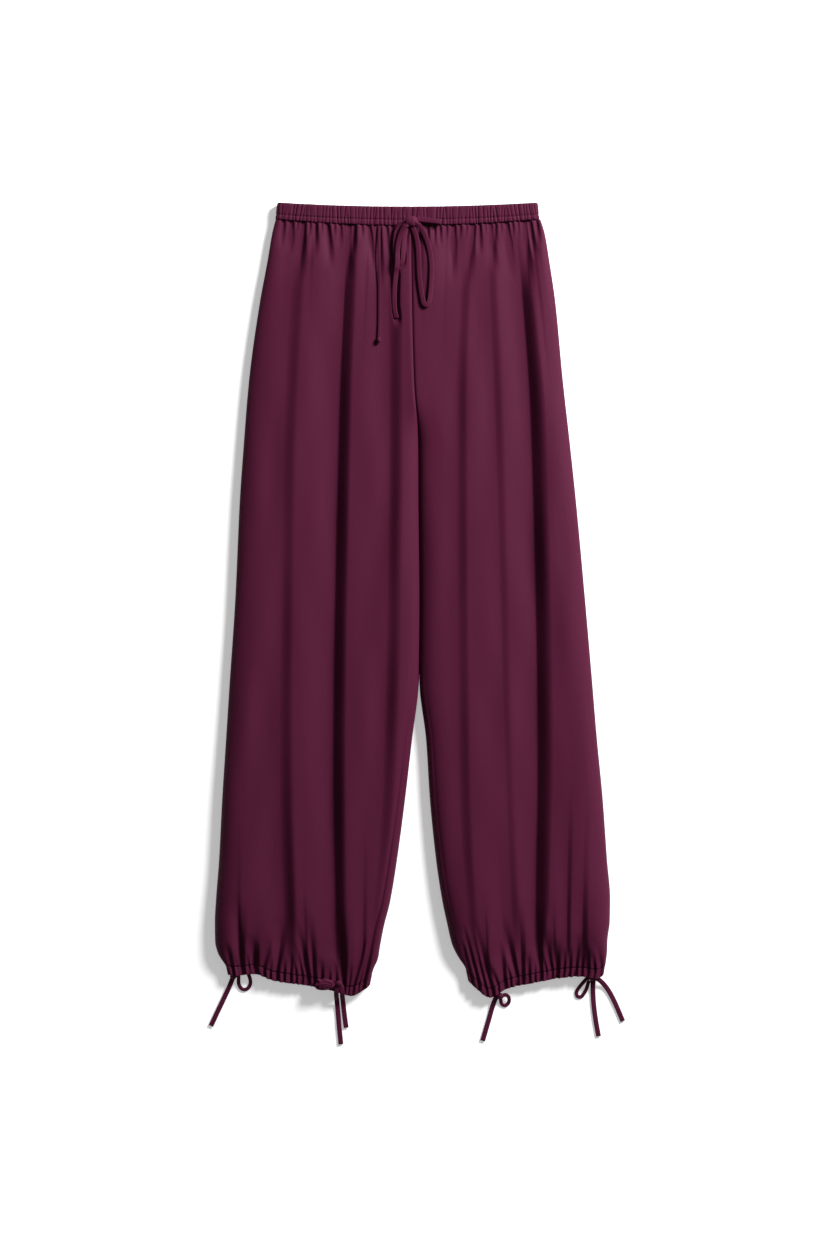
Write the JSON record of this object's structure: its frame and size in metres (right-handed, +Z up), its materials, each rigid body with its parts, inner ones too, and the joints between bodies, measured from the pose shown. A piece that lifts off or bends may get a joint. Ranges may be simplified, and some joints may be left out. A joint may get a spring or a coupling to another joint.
{
  "type": "balloon trousers laid flat",
  "caption": "Wide balloon trousers laid flat, with a gathered drawstring waistband and gathered hems tied with strings.",
  "frame": {"origin": "middle of the trousers' footprint without the strings, on the surface they lie on", "axes": "+Y towards the waist, +X towards the wearer's left leg, +Z up out of the front"},
  "size_m": [0.542, 1.0948, 0.0266],
  "materials": {
    "cloth": "smooth matte crepe with a soft sheen, dark plum",
    "gathered_trim": "the same crepe, gathered",
    "string": "the same crepe, turned into a flat tube"
  },
  "bodies": {
    "root": {"front_panel_left": "cloth", "front_panel_right": "cloth", "back_panel_left": "cloth", "back_panel_right": "cloth", "waistband": "gathered_trim", "hem_casing_left": "gathered_trim", "hem_casing_right": "gathered_trim", "waist_knot": "string", "waist_loop_left": "string", "waist_loop_hanging": "string", "waist_loop_short": "string", "waist_tail_left": "string", "waist_tail_thin": "string", "waist_tail_thin_knot": "string", "tie_right_outer_knot": "string", "tie_right_outer_loop": "string", "tie_right_outer_tail": "string", "tie_right_inner_knot": "string", "tie_right_inner_bow": "string", "tie_right_inner_tail_long": "string", "tie_right_inner_tail_short": "string", "tie_left_inner_knot": "string", "tie_left_inner_loop": "string", "tie_left_inner_tail": "string", "tie_left_outer_knot": "string", "tie_left_outer_loop": "string", "tie_left_outer_tail_straight": "string", "tie_left_outer_tail_curved": "string"}
  },
  "joints": []
}
